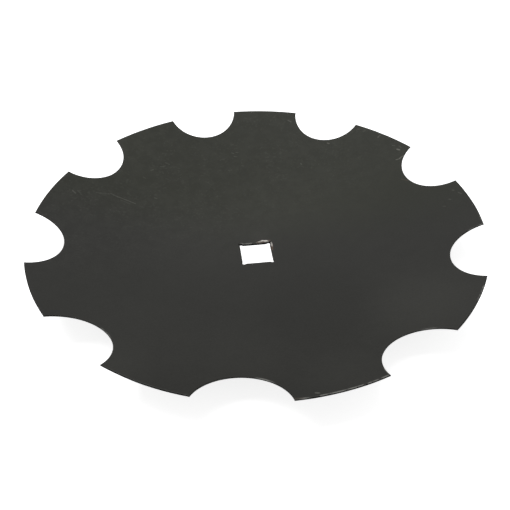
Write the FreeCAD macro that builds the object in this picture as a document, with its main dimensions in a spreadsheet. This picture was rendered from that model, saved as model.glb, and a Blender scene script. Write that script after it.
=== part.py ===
"""Notched harrow disc blade: one dished, scalloped and sharpened steel disc.

The disc is a cap of a spherical shell, lying concave side up on its convex side. Round notches are punched
through the rim, parallel to the axis. The rim and the notches are sharpened from the convex side, down to a
thin land. A square hole in the middle drives the blade from its gang shaft, and has a round relief in each
corner.

Frame: +Z is the blade's turning axis. The origin is on that axis, level with the lowest edge of the square
hole, which is what the blade rests on. One notch is centred on -X. Lengths are in millimetres.
"""
import FreeCAD, Part
import math
import os

import Sketcher
from FreeCAD import Placement, Rotation, Vector

SIZES = [
    # alias, value, what it measures
    ("blade_diameter", 406.4, "across the cutting edge, from lobe to lobe"),
    ("sheet_thickness", 3.0, "of the disc away from its bevels"),
    ("dish_radius", 520.0, "of the concave face, which is part of a sphere"),
    ("notch_count", 9, "evenly spaced round the rim"),
    ("notch_radius", 36.4, "of the round punch"),
    ("notch_depth", 30.4, "from the cutting edge to the bottom of a notch, seen along the axis"),
    ("edge_land", 1.2, "thickness left at the sharpened edge"),
    ("bevel_width", 9.5, "of the sharpened band on the convex side"),
    ("edge_break", 0.35, "small chamfer on the edges of the concave face"),
    ("shaft_square", 28.6, "across the flats of the square gang shaft"),
    ("shaft_clearance", 0.3, "of the hole over the shaft, across the flats"),
    ("relief_radius", 2.2, "of the round relief in each corner of the hole"),
    ("relief_inset", 1.2, "from the hole's sides to the centre of a relief"),
]

SHEET_NAME = "Sizes"
SMALLEST_CUT = 1.0  # mm3: a cut that removes less than this has missed the blade


def make_sheet(doc):
    """Put every driving dimension in a spreadsheet, one row each, under its alias."""
    sheet = doc.addObject("Spreadsheet::Sheet", SHEET_NAME)
    for row, (alias, value, meaning) in enumerate(SIZES, start=1):
        sheet.set(f"A{row}", alias.replace("_", " "))
        sheet.set(f"B{row}", str(value))
        sheet.setAlias(f"B{row}", alias)
        sheet.set(f"C{row}", meaning)
    doc.recompute()
    return sheet


def bound(formula):
    """Turn a formula of plain aliases into an expression that reads them from the spreadsheet."""
    for alias, _, _ in sorted(SIZES, key=lambda size: -len(size[0])):
        formula = formula.replace(alias, f"{SHEET_NAME}.{alias}")
    return formula


# Formulas of what follows from the driving dimensions.
HOLE_SIDE = "(shaft_square + shaft_clearance)"
CONVEX_RADIUS = "(dish_radius + sheet_thickness)"
CENTRE_HEIGHT = f"sqrt({CONVEX_RADIUS}^2 - ({HOLE_SIDE} / 2)^2)"
NOTCH_REACH = "(blade_diameter / 2 - notch_depth + notch_radius)"


class Profile:
    """A sketch on one of the body's origin planes, whose dimensions are bound to the spreadsheet."""

    def __init__(self, body, name, plane_role):
        self.sketch = body.newObject("Sketcher::SketchObject", name)
        plane = next(item for item in body.Origin.OriginFeatures if item.Role == plane_role)
        self.sketch.AttachmentSupport = [(plane, "")]
        self.sketch.MapMode = "FlatFace"

    def line(self, start, end, construction=False):
        edge = Part.LineSegment(Vector(*start, 0), Vector(*end, 0))
        return self.sketch.addGeometry(edge, construction)

    def arc(self, radius, first_angle, last_angle, construction=False):
        """An arc about the sketch's origin, its centre held there. Angles are in radians."""
        circle = Part.Circle(Vector(0, 0, 0), Vector(0, 0, 1), radius)
        index = self.sketch.addGeometry(Part.ArcOfCircle(circle, first_angle, last_angle), construction)
        self.hold("Coincident", index, 3, -1, 1)
        return index

    def hold(self, kind, *where):
        self.sketch.addConstraint(Sketcher.Constraint(kind, *where))

    def drive(self, name, formula, kind, *where):
        """Add a dimension and bind it to a formula of the driving dimensions."""
        index = self.sketch.addConstraint(Sketcher.Constraint(kind, *where))
        self.sketch.renameConstraint(index, name)
        self.sketch.setExpression(f"Constraints.{name}", bound(formula))


def below_centre(radius, angle):
    """The point on a circle about the origin, at an angle from straight down towards +X."""
    return radius * math.sin(angle), -radius * math.cos(angle)


def add_feature(body, kind, name):
    """Add a feature that keeps its faces in the order in which they were made, which the bevel relies on."""
    feature = body.newObject(kind, name)
    feature.Refine = False
    return feature


def add_dish(body, size):
    """Revolve the blade's half section: two concentric arcs, closed square to them at the rim."""
    profile = Profile(body, "DishSection", "XZ_Plane")
    profile.sketch.AttachmentOffset = Placement(Vector(0, 1, 0), Rotation())
    profile.sketch.setExpression("AttachmentOffset.Base.y", bound(CENTRE_HEIGHT))

    convex_radius = size.dish_radius + size.sheet_thickness
    land_radius = size.dish_radius + size.edge_land
    rim_angle = math.asin(size.blade_diameter / 2 / land_radius)
    down = -math.pi / 2
    concave = profile.arc(size.dish_radius, down, down + rim_angle)
    convex = profile.arc(convex_radius, down, down + rim_angle)
    top = below_centre(size.dish_radius, rim_angle)
    lip = below_centre(land_radius, rim_angle)
    axis = profile.line(below_centre(convex_radius, 0), below_centre(size.dish_radius, 0))
    rim = profile.line(top, below_centre(convex_radius, rim_angle))
    land = profile.line(top, lip, construction=True)

    profile.hold("Coincident", axis, 2, concave, 1)
    profile.hold("Coincident", concave, 2, rim, 1)
    profile.hold("Coincident", rim, 2, convex, 2)
    profile.hold("Coincident", convex, 1, axis, 1)
    profile.hold("PointOnObject", axis, 1, -2)
    profile.hold("PointOnObject", axis, 2, -2)
    profile.hold("PointOnObject", -1, 1, rim)
    profile.hold("Coincident", land, 1, rim, 1)
    profile.hold("PointOnObject", land, 2, rim)
    profile.drive("dish_radius", "dish_radius", "Radius", concave, size.dish_radius)
    profile.drive("convex_radius", CONVEX_RADIUS, "Radius", convex, convex_radius)
    profile.drive("land", "edge_land", "Distance", land, size.edge_land)
    profile.drive("cutting_edge", "blade_diameter / 2", "DistanceX", -1, 1, land, 2, lip[0])

    dish = add_feature(body, "PartDesign::Revolution", "Dish")
    dish.Profile = profile.sketch
    dish.ReferenceAxis = (profile.sketch, ["V_Axis"])
    dish.Angle = 360
    return dish


def add_notches(body, size):
    """Punch one round notch through the rim on -X, and repeat it all round."""
    reach = size.blade_diameter / 2 - size.notch_depth + size.notch_radius
    circle = Part.Circle(Vector(-reach, 0, 0), Vector(0, 0, 1), size.notch_radius)
    punch = Profile(body, "NotchOutline", "XY_Plane")
    edge = punch.sketch.addGeometry(circle, False)
    punch.hold("PointOnObject", edge, 3, -1)
    punch.drive("reach", NOTCH_REACH, "DistanceX", edge, 3, -1, 1, reach)
    punch.drive("radius", "notch_radius", "Radius", edge, size.notch_radius)
    notch = cut_through(body, punch, "Notch")
    ring = repeat_round(body, notch, "NotchRing")
    ring.setExpression("Occurrences", bound("notch_count"))
    return notch, ring


def repeat_round(body, feature, name):
    """Repeat a feature evenly round the blade's turning axis."""
    ring = add_feature(body, "PartDesign::PolarPattern", name)
    ring.Originals = [feature]
    axis = next(item for item in body.Origin.OriginFeatures if item.Role == "Z_Axis")
    ring.Axis = (axis, [""])
    ring.Angle = 360
    body.Tip = ring
    return ring


def sharpen(doc, body, size):
    """Bevel the convex side along the rim and round the notches, down to the land.

    A chamfer of two distances measures the first of them on whichever of an edge's two faces the blank lists
    first, so its direction is set from the blank's own order.
    """
    doc.recompute()
    blank = body.Tip
    convex_number = sphere_face_number(blank.Shape, size.dish_radius + size.sheet_thickness)
    bevel = body.newObject("PartDesign::Chamfer", "Bevel")
    bevel.Base = (blank, [f"Face{convex_number}"])
    bevel.ChamferType = "Two distances"
    bevel.FlipDirection = convex_number == 1
    bevel.setExpression("Size", bound("sheet_thickness - edge_land"))
    bevel.setExpression("Size2", bound("bevel_width"))
    return bevel


def add_shaft_hole(body, size):
    """Cut the square shaft hole along the axis, then relieve its four corners."""
    half_side = (size.shaft_square + size.shaft_clearance) / 2
    corners = [(-half_side, -half_side), (half_side, -half_side), (half_side, half_side), (-half_side, half_side)]
    square = Profile(body, "ShaftHoleOutline", "XY_Plane")
    sides = [square.line(corners[turn], corners[(turn + 1) % 4]) for turn in range(4)]
    for turn, side in enumerate(sides):
        square.hold("Coincident", side, 2, sides[(turn + 1) % 4], 1)
        square.hold("Horizontal" if turn % 2 == 0 else "Vertical", side)
    square.hold("Symmetric", sides[0], 1, sides[2], 1, -1, 1)
    square.hold("Equal", sides[0], sides[1])
    square.drive("side", HOLE_SIDE, "DistanceX", sides[0], 1, sides[0], 2, 2 * half_side)
    hole = cut_through(body, square, "ShaftHole")

    inset = half_side - size.relief_inset
    circle = Part.Circle(Vector(inset, inset, 0), Vector(0, 0, 1), size.relief_radius)
    corner = Profile(body, "ReliefOutline", "XY_Plane")
    relief_circle = corner.sketch.addGeometry(circle, False)
    place = f"{HOLE_SIDE} / 2 - relief_inset"
    corner.drive("across", place, "DistanceX", -1, 1, relief_circle, 3, inset)
    corner.drive("along", place, "DistanceY", -1, 1, relief_circle, 3, inset)
    corner.drive("radius", "relief_radius", "Radius", relief_circle, size.relief_radius)
    relief = cut_through(body, corner, "CornerRelief")

    ring = repeat_round(body, relief, "ReliefRing")
    ring.Occurrences = 4
    return hole, relief, ring


def cut_through(body, profile, name):
    """Pocket a profile right through the sheet, both up and down from its plane."""
    pocket = add_feature(body, "PartDesign::Pocket", name)
    pocket.Profile = profile.sketch
    pocket.Type = "ThroughAll"
    pocket.Midplane = True
    return pocket


def break_edges(doc, body, size):
    """Take the sharpness off every edge of the concave face: the rim, the notches and the shaft hole."""
    doc.recompute()
    bare = body.Tip
    edge_break = body.newObject("PartDesign::Chamfer", "EdgeBreak")
    edge_break.Base = (bare, [f"Face{sphere_face_number(bare.Shape, size.dish_radius)}"])
    edge_break.setExpression("Size", bound("edge_break"))
    return edge_break


def sphere_face_number(shape, radius):
    """Find the face of the blade that is part of a sphere of this radius. Faces are counted from 1."""
    for number, face in enumerate(shape.Faces, start=1):
        if isinstance(face.Surface, Part.Sphere) and math.isclose(face.Surface.Radius, radius):
            return number
    raise RuntimeError(f"the blade has no spherical face of radius {radius}")


def check_cuts(cuts):
    """Each cut has to take material away from what was there before it."""
    for feature in cuts:
        removed = feature.BaseFeature.Shape.Volume - feature.Shape.Volume
        if removed < SMALLEST_CUT:
            raise RuntimeError(f"{feature.Name} removed only {removed:.3f} mm3")


def check_document(doc):
    for item in doc.Objects:
        if "Invalid" in item.State or "Error" in item.State:
            raise RuntimeError(f"{item.Name} failed: {item.State}")


def make_disc_blade(doc, size):
    body = doc.addObject("PartDesign::Body", "DiscBlade")
    body.Label = "disc_blade"
    body.Placement = Placement()
    add_dish(body, size)
    notch_cuts = add_notches(body, size)
    bevel = sharpen(doc, body, size)
    hole_cuts = add_shaft_hole(body, size)
    edge_break = break_edges(doc, body, size)
    doc.recompute()
    check_document(doc)
    check_cuts((*notch_cuts, bevel, *hole_cuts, edge_break))
    return body


def export(piece):
    shape = piece.Shape
    if shape.isNull() or not shape.isValid() or len(shape.Solids) != 1:
        raise RuntimeError(f"{piece.Label} is not one valid solid")
    shape.exportStep(f"parts/{piece.Label}.step")
    box = shape.BoundBox
    print(f"{piece.Label}: {shape.Volume:.1f} mm3, x {box.XMin:.2f} to {box.XMax:.2f}, "
          f"y {box.YMin:.2f} to {box.YMax:.2f}, z {box.ZMin:.2f} to {box.ZMax:.2f}")


def main():
    os.makedirs("parts", exist_ok=True)
    doc = FreeCAD.newDocument("HarrowDiscBlade")
    size = make_sheet(doc)
    export(make_disc_blade(doc, size))


main()
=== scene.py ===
"""Looks of the notched harrow disc blade: dusty, lightly scraped black paint, with painted sheen, shade and
edge highlights, on a white studio floor.
"""
from math import acos, asin, atan2, cos, pi, radians, sin, sqrt, tau

import bpy
from mathutils import Matrix, Vector, noise


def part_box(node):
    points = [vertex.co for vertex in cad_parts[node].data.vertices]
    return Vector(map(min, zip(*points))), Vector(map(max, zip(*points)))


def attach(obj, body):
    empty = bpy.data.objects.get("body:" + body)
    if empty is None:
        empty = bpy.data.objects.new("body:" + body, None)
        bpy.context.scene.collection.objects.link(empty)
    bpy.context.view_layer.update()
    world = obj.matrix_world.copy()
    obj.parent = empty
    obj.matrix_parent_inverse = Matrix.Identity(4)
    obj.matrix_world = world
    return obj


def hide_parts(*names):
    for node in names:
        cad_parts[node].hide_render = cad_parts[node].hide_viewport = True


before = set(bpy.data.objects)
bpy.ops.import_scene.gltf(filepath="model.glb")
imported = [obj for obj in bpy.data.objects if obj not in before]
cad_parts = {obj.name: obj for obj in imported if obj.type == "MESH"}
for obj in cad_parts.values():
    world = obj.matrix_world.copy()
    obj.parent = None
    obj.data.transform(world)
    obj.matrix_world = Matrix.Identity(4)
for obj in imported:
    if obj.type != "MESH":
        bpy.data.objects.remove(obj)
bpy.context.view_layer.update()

NODE = "disc_blade"
BODY = "root"
MM = 0.001

# The blade's own sizes, in metres. Its outer radius comes from the frame.
RIM_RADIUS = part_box(NODE)[1].y
DISH_RADIUS = 520 * MM
THICKNESS = 3 * MM
EDGE_LAND = 1.2 * MM
BEVEL_WIDTH = 9.5 * MM
EDGE_BREAK = 0.35 * MM
NOTCH_COUNT = 9
NOTCH_RADIUS = 36.4 * MM
NOTCH_DEPTH = 30.4 * MM
HOLE_HALF = 28.9 * MM / 2
RELIEF_RADIUS = 2.2 * MM
RELIEF_CENTRE = HOLE_HALF - 1.2 * MM

CONVEX_RADIUS = DISH_RADIUS + THICKNESS
CENTRE_HEIGHT = sqrt(CONVEX_RADIUS**2 - HOLE_HALF**2)
NOTCH_CENTRE = RIM_RADIUS - NOTCH_DEPTH + NOTCH_RADIUS
RIM_SLOPE = asin(RIM_RADIUS / (DISH_RADIUS + EDGE_LAND))

# How finely the blade is divided: steps along each notch and lobe, and rows across each face.
NOTCH_STEPS = 64
LOBE_STEPS = 46
CONCAVE_ROWS = 34
CONVEX_ROWS = 18
SHOULDER = 12 * MM  # from here out, the rows run alongside the blade's edge

# The sheared edge strays inwards by up to this much, in waves about this long.
EDGE_WOBBLE = 0.2 * MM
WOBBLE_LENGTH = 18 * MM

# The edge's wear and painted highlight reach this far in from the outer edge, and this far down the wall of
# the hole.
EDGE_BAND_WIDTH = 0.9 * MM
HOLE_EDGE_BAND_DEPTH = 1.1 * MM

# The blade's finishes, in the order of their material slots.
FACE, EDGE, WALL, UNDERSIDE = range(4)

# Chips in the concave face's edges, in millimetres: start, end, width and depth.
CHIPS = [
    ((4.5, 15.4), (13.0, 15.4), 1.4, 0.5),
    ((15.8, 12.0), (15.8, 2.5), 1.2, 0.4),
    ((96.0, 141.0), (98.5, 139.0), 2.0, 0.5),
    ((162.5, -118.0), (160.5, -125.0), 1.4, 0.4),
    ((0.5, -203.0), (7.0, -203.0), 1.5, 0.4),
    ((-71.5, -190.0), (-73.5, -191.5), 1.5, 0.6),
]

# Thin places in the paint, in millimetres: start, end, width and how pale they are.
SCUFFS = [
    ((-149.0, 79.0), (-137.0, 79.5), 0.9, 0.06),
    ((-136.0, 81.0), (-129.0, 77.0), 0.8, 0.10),
    ((-130.0, 78.0), (-112.0, 70.5), 0.6, 0.15),
    ((-126.0, 73.5), (-117.0, 69.0), 0.6, 0.06),
    ((-170.5, 75.5), (-168.0, 73.0), 1.1, 0.14),
    ((-166.0, 77.0), (-162.0, 72.0), 0.8, 0.06),
    ((-86.0, 126.0), (-81.0, 127.5), 0.9, 0.10),
    ((-80.5, 132.0), (-76.5, 130.5), 0.7, 0.10),
    ((-96.0, 120.0), (-93.5, 121.0), 1.0, 0.09),
    ((-104.0, 109.5), (-102.0, 108.0), 0.9, 0.08),
    ((-93.0, 81.0), (-91.5, 80.5), 1.1, 0.10),
    ((-8.5, 146.5), (-6.5, 145.5), 0.9, 0.12),
    ((-3.5, 147.0), (-1.5, 146.5), 0.8, 0.10),
    ((-6.5, 141.5), (-3.5, 140.5), 0.8, 0.10),
    ((-22.0, 137.0), (-17.0, 138.5), 0.9, 0.07),
    ((-14.5, 122.0), (-11.0, 122.5), 0.8, 0.07),
    ((59.5, 182.0), (62.0, 180.0), 1.0, 0.16),
    ((63.5, 120.5), (63.9, 118.5), 0.8, 0.14),
    ((130.5, 148.5), (132.5, 147.5), 1.1, 0.10),
    ((136.0, 142.5), (138.0, 144.0), 1.1, 0.08),
    ((148.5, 129.0), (151.0, 130.5), 1.1, 0.20),
    ((159.5, 111.5), (161.5, 110.0), 0.9, 0.12),
    ((162.5, 104.5), (164.5, 102.5), 1.1, 0.40),
    ((165.5, 108.0), (166.5, 105.0), 0.8, 0.12),
    ((158.0, 91.0), (162.0, 90.5), 0.7, 0.30),
    ((161.0, 91.0), (166.0, 93.0), 0.8, 0.35),
    ((193.0, 23.5), (194.0, 22.5), 0.9, 0.12),
    ((196.5, 17.5), (198.0, 14.5), 0.9, 0.12),
    ((186.5, 13.5), (187.5, 12.5), 0.9, 0.10),
    ((179.0, 7.0), (180.5, 6.0), 0.9, 0.08),
    ((15.5, -198.0), (17.5, -198.5), 1.0, 0.30),
]

# Chips that show bare steel, and chips that have rusted since.
BARE = [
    ((4.0, 15.8), (8.0, 16.6), 0.8, 0.5),
    ((7.0, 16.6), (12.0, 16.4), 1.0, 0.9),
    ((10.5, 15.2), (13.0, 15.8), 0.8, 0.5),
    ((16.0, 13.0), (16.0, 8.0), 0.9, 0.6),
    ((96.5, 141.0), (98.0, 139.5), 0.8, 0.12),
]
RUSTY = [
    ((3.0, 15.2), (14.5, 16.0), 1.6, 0.45),
    ((16.0, 10.0), (15.4, 2.5), 1.3, 0.55),
    ((0.5, -201.5), (6.5, -202.5), 1.3, 0.12),
    ((-64.0, -194.0), (-72.5, -191.5), 1.4, 0.15),
    ((156.0, 62.5), (161.0, 57.5), 1.0, 0.15),
]

# Stretches of the edge that are pale from wear and a painted highlight, in millimetres: start, end, reach
# and how pale they are.
WORN_AND_HIGHLIT_EDGES = [
    ((-12.0, 15.0), (4.0, 15.0), 3.0, 1.0),
    ((-14.0, -172.0), (4.0, -172.0), 10.0, 0.9),
    ((10.0, -203.0), (95.0, -180.0), 9.0, 0.8),
    ((-128.0, -113.0), (-104.0, -130.0), 10.0, 0.8),
    ((114.0, -140.0), (108.0, -122.0), 10.0, 0.7),
    ((161.0, -124.0), (168.0, -114.0), 6.0, 0.9),
    ((196.0, -20.0), (186.0, -78.0), 9.0, 0.5),
]

# Spots of painted sheen (lighter) and painted shade (darker, where negative) in the dust on the face, in
# millimetres: centre, radius and how much.
SHEEN_AND_SHADE_SPOTS = [
    ((5.0, 24.0), 16.0, 0.025),
    ((20.0, 60.0), 70.0, 0.016),
    ((65.0, 70.0), 95.0, 0.012),
    ((-50.0, 30.0), 95.0, 0.018),
    ((125.0, -115.0), 75.0, 0.038),
    ((-35.0, -140.0), 60.0, 0.014),
    ((-110.0, -110.0), 75.0, 0.012),
    ((-125.0, -155.0), 45.0, 0.025),
    ((45.0, -180.0), 50.0, 0.018),
    ((-135.0, 160.0), 65.0, 0.026),
    ((42.0, -85.0), 70.0, -0.018),
    ((165.0, 20.0), 80.0, -0.010),
]


def place(x, y):
    """A place on the blade, given in millimetres."""
    return Vector((x, y)) * MM


def edge_wobble(point):
    """How far the sheared edge strays inwards beside a point of the outline."""
    return EDGE_WOBBLE * (0.5 + 0.5 * noise.noise(point.to_3d() / WOBBLE_LENGTH))


def outline(rim_inset, notch_inset):
    """The blade's outline in plan, its lobes and notches each moved in, as a loop of points."""
    rim = RIM_RADIUS - rim_inset
    punch = NOTCH_RADIUS + notch_inset
    mouth = acos((NOTCH_CENTRE**2 + rim**2 - punch**2) / (2 * NOTCH_CENTRE * rim))
    sweep = atan2(rim * sin(mouth), NOTCH_CENTRE - rim * cos(mouth))
    pitch = tau / NOTCH_COUNT
    loop = []
    for turn in range(NOTCH_COUNT):
        middle = pi + turn * pitch
        facing = Matrix.Rotation(middle, 2)
        centre = facing @ Vector((NOTCH_CENTRE, 0))
        for step in range(NOTCH_STEPS):
            angle = sweep * (2 * step / NOTCH_STEPS - 1)
            towards = facing @ Vector((-cos(angle), sin(angle)))
            loop.append(centre + towards * (punch + edge_wobble(centre + towards * NOTCH_RADIUS)))
        for step in range(LOBE_STEPS):
            angle = middle + mouth + (pitch - 2 * mouth) * step / LOBE_STEPS
            towards = Vector((cos(angle), sin(angle)))
            loop.append(towards * (rim - edge_wobble(towards * RIM_RADIUS)))
    return loop


def hole_reach(angle, margin):
    """How far the shaft hole reaches from the axis in one direction: a square with round corner reliefs."""
    across, along = sorted((abs(cos(angle)), abs(sin(angle))))
    reach = (HOLE_HALF + margin) / along
    beside = RELIEF_CENTRE * (along - across)
    radius = RELIEF_RADIUS + margin
    if beside < radius:
        reach = max(reach, RELIEF_CENTRE * (along + across) + sqrt(radius**2 - beside**2))
    return reach


def hole_outline(margin, shoulder):
    """The shaft hole's outline, moved out by a margin, with a point facing each point of the shoulder."""
    return [p.normalized() * hole_reach(atan2(p.y, p.x), margin) for p in shoulder]


def between(inner, outer, count):
    """The loops that divide the way from one loop to another evenly."""
    return [[a.lerp(b, step / count) for a, b in zip(inner, outer)] for step in range(1, count)]


def blade_rows():
    """The blade's surface as rows: a loop in plan, the sphere it lies on, and the finish after it.

    The rows run from the shaft hole over the concave face, round the edge and back under the convex face.
    """
    lean = EDGE_LAND * sin(RIM_SLOPE)
    shoulder = outline(SHOULDER, SHOULDER)
    face = [hole_outline(margin * MM, shoulder) for margin in (0.7, 1.3, 2.5, 4.5)]
    face += between(face[-1], shoulder, CONCAVE_ROWS)
    face.append(shoulder)
    face += [outline(lean + inset * MM, inset * MM) for inset in (8, 4.5, 2.4, 1.5)]

    rows = [(hole_outline(EDGE_BREAK, shoulder), DISH_RADIUS, FACE)]
    rows += [(loop, DISH_RADIUS, FACE) for loop in face]
    rows.append((outline(lean + EDGE_BAND_WIDTH, EDGE_BAND_WIDTH), DISH_RADIUS, EDGE))
    rows.append((outline(lean + EDGE_BREAK, EDGE_BREAK), DISH_RADIUS, EDGE))
    rows.append((outline(lean * (1 - EDGE_BREAK / EDGE_LAND), 0), DISH_RADIUS + EDGE_BREAK, WALL))
    rows.append((outline(0, 0), DISH_RADIUS + EDGE_LAND, UNDERSIDE))
    for share in (0.3, 0.65, 0.95):
        radius = DISH_RADIUS + EDGE_LAND + (THICKNESS - EDGE_LAND) * share
        rows.append((outline(BEVEL_WIDTH * share, BEVEL_WIDTH * share), radius, UNDERSIDE))

    heel = outline(BEVEL_WIDTH * 1.03, BEVEL_WIDTH * 1.03)
    lower_hole = hole_outline(0, shoulder)
    under = [lower_hole, hole_outline(2.5 * MM, shoulder)]
    under += between(under[-1], heel, CONVEX_ROWS)
    rows.append((heel, CONVEX_RADIUS, UNDERSIDE))
    rows += [(loop, CONVEX_RADIUS, UNDERSIDE) for loop in reversed(under[1:])]
    rows.append((lower_hole, CONVEX_RADIUS, WALL))
    rows.append((lower_hole, DISH_RADIUS + HOLE_EDGE_BAND_DEPTH, EDGE))
    rows.append((lower_hole, DISH_RADIUS + EDGE_BREAK, EDGE))
    return rows


def chip_depth(point, chip):
    """How deep a chip is at a point of the plan: a hollow along a short line, round in section."""
    start, end, width, depth = chip
    start, along = place(*start), place(*end) - place(*start)
    share = min(1, max(0, (point - start).dot(along) / along.length_squared))
    away = (point - start - share * along).length / (width * MM)
    return depth * MM * max(0, 1 - away**2)


def on_sphere(point, radius):
    """Put a point of the plan on the dish, at a distance from the sphere's centre."""
    return Vector((point.x, point.y, CENTRE_HEIGHT - sqrt(radius**2 - point.length_squared)))


def build_blade():
    rows = blade_rows()
    size = len(rows[0][0])
    vertices, faces, finishes = [], [], []
    for row, (loop, radius, finish) in enumerate(rows):
        after = (row + 1) % len(rows)
        chipped = radius < DISH_RADIUS + EDGE_LAND
        for column, point in enumerate(loop):
            vertex = on_sphere(point, radius)
            if chipped:
                vertex.z -= max(chip_depth(point, chip) for chip in CHIPS)
            vertices.append(vertex)
            following = (column + 1) % size
            faces.append((row * size + column, after * size + column, after * size + following,
                          row * size + following))
            finishes.append(finish)
    mesh = bpy.data.meshes.new("blade")
    mesh.from_pydata(vertices, [], faces)
    mesh.shade_smooth()
    mesh.set_sharp_from_angle(angle=radians(50))
    for material in (face_paint_and_sheen(), edge_paint_and_highlight(), wall_paint_and_shade(), underside_paint()):
        mesh.materials.append(material)
    mesh.polygons.foreach_set("material_index", finishes)
    blade = bpy.data.objects.new("blade", mesh)
    bpy.context.scene.collection.objects.link(blade)
    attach(blade, BODY)
    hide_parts(NODE)


class Surface:
    """A material whose nodes are made by calls that take and return sockets. Places are in millimetres."""

    def __init__(self, name):
        material = bpy.data.materials.new(name)
        material.use_nodes = True
        self.material = material
        self.nodes = material.node_tree.nodes
        self.links = material.node_tree.links
        self.shader = self.nodes["Principled BSDF"]
        coordinates = self.nodes.new("ShaderNodeTexCoord").outputs["Object"]
        self.place = self.vector("SCALE", coordinates, scale=1 / MM)
        self.plan = self.vector("MULTIPLY", self.place, (1, 1, 0))

    def put(self, socket, value):
        """Link a socket to another one, or set it to a plain value."""
        if isinstance(value, bpy.types.NodeSocket):
            self.links.new(value, socket)
        else:
            socket.default_value = value

    def math(self, operation, first, second=0.0, clamp=False):
        node = self.nodes.new("ShaderNodeMath")
        node.operation = operation
        node.use_clamp = clamp
        self.put(node.inputs[0], first)
        self.put(node.inputs[1], second)
        return node.outputs[0]

    def vector(self, operation, first, second=(0, 0, 0), scale=1.0, output="Vector"):
        node = self.nodes.new("ShaderNodeVectorMath")
        node.operation = operation
        self.put(node.inputs[0], first)
        if operation == "SCALE":
            self.put(node.inputs["Scale"], scale)
        else:
            self.put(node.inputs[1], second)
        return node.outputs[output]

    def towards(self, direction):
        """How far the place lies in a direction from the blade's axis."""
        return self.vector("DOT_PRODUCT", self.place, direction, output="Value")

    def noise(self, length, detail=3.0, roughness=0.5, offset=(0, 0, 0)):
        """Noise from 0 to 1 whose features are about this many millimetres long."""
        node = self.nodes.new("ShaderNodeTexNoise")
        self.put(node.inputs["Vector"], self.vector("ADD", self.place, offset))
        self.put(node.inputs["Scale"], 1 / length)
        self.put(node.inputs["Detail"], detail)
        self.put(node.inputs["Roughness"], roughness)
        return node.outputs["Fac"]

    def stretch(self, value, low, high, to_low=0.0, to_high=1.0):
        """Map the range from low to high smoothly onto another one, and hold it outside."""
        node = self.nodes.new("ShaderNodeMapRange")
        node.interpolation_type = "SMOOTHSTEP"
        for name, setting in (("Value", value), ("From Min", low), ("From Max", high),
                              ("To Min", to_low), ("To Max", to_high)):
            self.put(node.inputs[name], setting)
        return node.outputs["Result"]

    def blend(self, factor, first, second):
        node = self.nodes.new("ShaderNodeMix")
        node.data_type = "RGBA"
        self.put(node.inputs["Factor"], factor)
        self.put(node.inputs["A"], first)
        self.put(node.inputs["B"], second)
        return node.outputs["Result"]

    def mark(self, where, start, end, width, strength):
        """A short soft-edged stroke in plan, as a mask."""
        start, end = Vector((*start, 0)), Vector((*end, 0))
        along = end - start
        offset = self.vector("SUBTRACT", where, tuple(start))
        share = self.vector("DOT_PRODUCT", offset, tuple(along / along.length_squared), output="Value")
        share = self.math("ADD", share, 0.0, clamp=True)
        nearest = self.vector("SCALE", tuple(along), scale=share)
        away = self.vector("DISTANCE", offset, nearest, output="Value")
        return self.stretch(away, 0.35 * width, width, strength, 0.0)

    def marks(self, where, strokes):
        """The strongest of several strokes at each place."""
        mask = 0.0
        for stroke in strokes:
            mask = self.math("MAXIMUM", self.mark(where, *stroke), mask)
        return mask

    def bump(self, height, distance):
        """Raise the surface by a height from 0 to 1, times a distance in millimetres."""
        node = self.nodes.new("ShaderNodeBump")
        node.inputs["Strength"].default_value = 1.0
        node.inputs["Distance"].default_value = distance * MM
        self.put(node.inputs["Height"], height)
        self.links.new(node.outputs["Normal"], self.shader.inputs["Normal"])


PAINT = (0.0214, 0.0214, 0.0184, 1)
PAINT_OLIVE = (0.0212, 0.0226, 0.0152, 1)
# Near-black painted shade for the walls.
WALL_SHADE = (0.0030, 0.0030, 0.0030, 1)
# Dust colour, which also carries the painted sheen of the face.
DUST_AND_SHEEN_COLOUR = (0.25, 0.25, 0.22, 1)
THIN_PAINT = (0.24, 0.24, 0.21, 1)
STEEL = (0.60, 0.57, 0.53, 1)
RUST = (0.13, 0.085, 0.06, 1)
# Pale paint of the wear and of the painted highlight along the edge.
WORN_AND_HIGHLIGHT = (0.19, 0.19, 0.175, 1)


def ragged(surface):
    """The place in plan, shifted a little by noise, so that strokes have uneven edges."""
    shift = surface.math("SUBTRACT", surface.noise(1.3, detail=2), 0.5)
    return surface.vector("ADD", surface.plan, surface.vector("SCALE", (1.6, -1.6, 0), scale=shift))


def dust_and_sheen_film(surface):
    """How much dust and painted sheen cover the paint: an uneven layer, heavier in some places, with spots
    of painted sheen and painted shade, and grit towards the back.
    """
    behind = surface.stretch(surface.towards((-0.35, 1, 0)), -20, 110)
    blotches = surface.stretch(surface.noise(11, detail=4, roughness=0.65), 0.35, 0.65, -0.011, 0.013)
    share = surface.math("ADD", surface.math("MULTIPLY", behind, 0.75), 0.25)
    film_with_sheen = surface.math("MULTIPLY", blotches, share)
    film_with_sheen = surface.math("ADD", film_with_sheen, 0.007)
    # Lighter and darker spots: painted sheen and painted shade.
    for (x, y), radius, amount in SHEEN_AND_SHADE_SPOTS:
        away = surface.vector("DISTANCE", surface.plan, (x, y, 0), output="Value")
        film_with_sheen = surface.math("ADD", film_with_sheen, surface.stretch(away, 0, radius, amount, 0.0))
    film_with_sheen = surface.math("MAXIMUM", film_with_sheen, 0.0)
    grit = surface.stretch(surface.noise(2.8, detail=3, offset=(40, 0, 0)), 0.53, 0.68, 0.0, 0.04)
    sown = surface.stretch(surface.noise(22, offset=(0, 90, 0)), 0.35, 0.6)
    sown = surface.math("MULTIPLY", sown, behind)
    return surface.math("ADD", film_with_sheen, surface.math("MULTIPLY", grit, sown))


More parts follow.
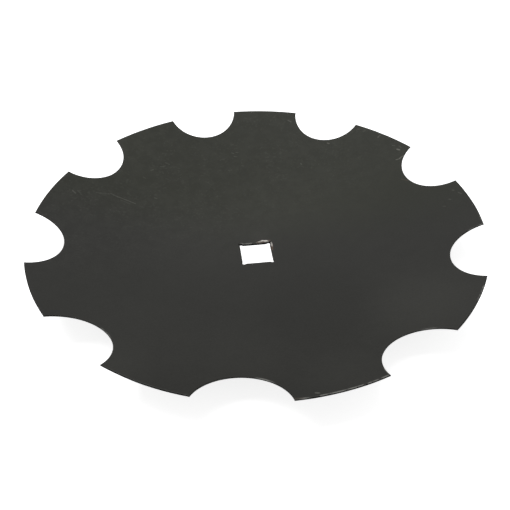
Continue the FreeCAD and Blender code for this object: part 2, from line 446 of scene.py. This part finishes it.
def painted(name, grain_depth=0.03):
    """Black paint, olive towards the back, with an uneven tone and a fine grain, and its colour."""
    surface = Surface(name)
    grain = surface.noise(1.6, detail=4, roughness=0.65)
    surface.shader.inputs["Specular IOR Level"].default_value = 0.25
    surface.put(surface.shader.inputs["Roughness"], surface.stretch(grain, 0.3, 0.7, 0.46, 0.54))
    surface.bump(grain, grain_depth)
    behind = surface.stretch(surface.towards((0.15, 1, 0)), -10, 85)
    colour = surface.blend(behind, PAINT, PAINT_OLIVE)
    tone = surface.math("ADD", surface.math("MULTIPLY", surface.noise(26, detail=3), 0.12),
                        surface.math("MULTIPLY", grain, 0.12))
    return surface, surface.blend(tone, colour, (0, 0, 0, 1))


def dusty_sheened_paint(name):
    """The concave face's paint with its dust, painted sheen and painted shade, and scuffs, its colour, and
    the ragged place.
    """
    surface, colour = painted(name)
    where = ragged(surface)
    # Dust, with painted sheen and painted shade.
    colour = surface.blend(dust_and_sheen_film(surface), colour, DUST_AND_SHEEN_COLOUR)
    return surface, surface.blend(surface.marks(where, SCUFFS), colour, THIN_PAINT), where


def chipped(surface, colour, where):
    """Rust and bare steel over a colour, set as the surface's own."""
    colour = surface.blend(surface.marks(where, RUSTY), colour, RUST)
    colour = surface.blend(surface.marks(where, BARE), colour, STEEL)
    surface.put(surface.shader.inputs["Base Color"], colour)
    return surface.material


def face_paint_and_sheen():
    return chipped(*dusty_sheened_paint("face_paint_and_sheen"))


def edge_paint_and_highlight():
    """The paint beside the edge, pale from wear and a painted highlight along some stretches, and unevenly
    elsewhere.
    """
    surface, colour, where = dusty_sheened_paint("edge_paint_and_highlight")
    uneven = surface.stretch(surface.noise(5, detail=3), 0.35, 0.6)
    wear_and_highlight = surface.math("MULTIPLY", surface.marks(where, WORN_AND_HIGHLIT_EDGES), uneven)
    # Pale along the listed stretches: wear and painted highlight.
    colour = surface.blend(wear_and_highlight, colour, WORN_AND_HIGHLIGHT)
    return chipped(surface, colour, where)


def wall_paint_and_shade():
    """The sheared walls: darker paint, which is painted shade."""
    surface, colour = painted("wall_paint_and_shade", grain_depth=0.02)
    surface.shader.inputs["Specular IOR Level"].default_value = 0.1
    # Painted shade: the walls are darkened most of the way to near black, unevenly.
    painted_shade = surface.stretch(surface.noise(20, detail=3), 0.3, 0.6, 0.7, 1.0)
    surface.put(surface.shader.inputs["Base Color"], surface.blend(painted_shade, colour, WALL_SHADE))
    return surface.material


def underside_paint():
    surface, colour = painted("underside_paint")
    surface.put(surface.shader.inputs["Base Color"], colour)
    return surface.material


FLOOR_HALF = 12.0
FLOOR_COLOUR = (0.8, 0.8, 0.8, 1)


def build_floor():
    """A white floor. To the camera and in reflections it is a little brighter, and it keeps the shadow."""
    corners = [(-FLOOR_HALF, -FLOOR_HALF, 0), (FLOOR_HALF, -FLOOR_HALF, 0),
               (FLOOR_HALF, FLOOR_HALF, 0), (-FLOOR_HALF, FLOOR_HALF, 0)]
    mesh = bpy.data.meshes.new("floor")
    mesh.from_pydata(corners, [], [(0, 1, 2, 3)])
    floor = bpy.data.objects.new("floor", mesh)
    bpy.context.scene.collection.objects.link(floor)
    surface = Surface("white_floor")
    shader = surface.shader
    shader.inputs["Base Color"].default_value = FLOOR_COLOUR
    shader.inputs["Roughness"].default_value = 0.9
    shader.inputs["Specular IOR Level"].default_value = 0.0
    shader.inputs["Emission Color"].default_value = (1, 1, 1, 1)
    rays = surface.nodes.new("ShaderNodeLightPath").outputs
    seen = surface.math("MULTIPLY", rays["Is Camera Ray"], 0.8)
    mirrored = surface.math("MULTIPLY", rays["Is Glossy Ray"], 0.2)
    surface.put(shader.inputs["Emission Strength"], surface.math("ADD", seen, mirrored))
    mesh.materials.append(surface.material)


def outward(azimuth, elevation):
    """The direction from the blade towards a place round it. Azimuth 0 is in front, at -Y."""
    azimuth, elevation = radians(azimuth), radians(elevation)
    return Vector((sin(azimuth) * cos(elevation), -cos(azimuth) * cos(elevation), sin(elevation)))


def add_softbox(name, azimuth, elevation, distance, width, power):
    data = bpy.data.lights.new(name, "AREA")
    data.shape = "SQUARE"
    data.size = width
    data.energy = power
    lamp = bpy.data.objects.new(name, data)
    bpy.context.scene.collection.objects.link(lamp)
    away = outward(azimuth, elevation)
    turn = away.to_track_quat("Z", "Y").to_matrix().to_4x4()
    lamp.matrix_world = Matrix.Translation(away * distance) @ turn


def build_lights():
    world = bpy.data.worlds.new("studio")
    bpy.context.scene.world = world
    world.use_nodes = True
    background = world.node_tree.nodes["Background"]
    background.inputs["Color"].default_value = (1, 1, 1, 1)
    background.inputs["Strength"].default_value = 0.4
    add_softbox("overhead_softbox", azimuth=-90, elevation=75, distance=1.6, width=0.9, power=15)
    add_softbox("back_softbox", azimuth=180, elevation=50, distance=1.6, width=0.9, power=2.3)


def build_camera():
    data = bpy.data.cameras.new("camera")
    camera = bpy.data.objects.new("camera", data)
    bpy.context.scene.collection.objects.link(camera)
    bpy.context.scene.camera = camera
    data.sensor_width = 36
    data.lens = 45.79
    aim = Vector((-1.82, -3.52, 3)) * MM
    distance = 609.3 * MM
    away = outward(azimuth=-6.93, elevation=40.25)
    turn = away.to_track_quat("Z", "Y").to_matrix() @ Matrix.Rotation(radians(-0.37), 3, "Z")
    camera.matrix_world = Matrix.Translation(aim + distance * away) @ turn.to_4x4()


bpy.context.scene.view_settings.view_transform = "Standard"
build_blade()
build_floor()
build_lights()
build_camera()
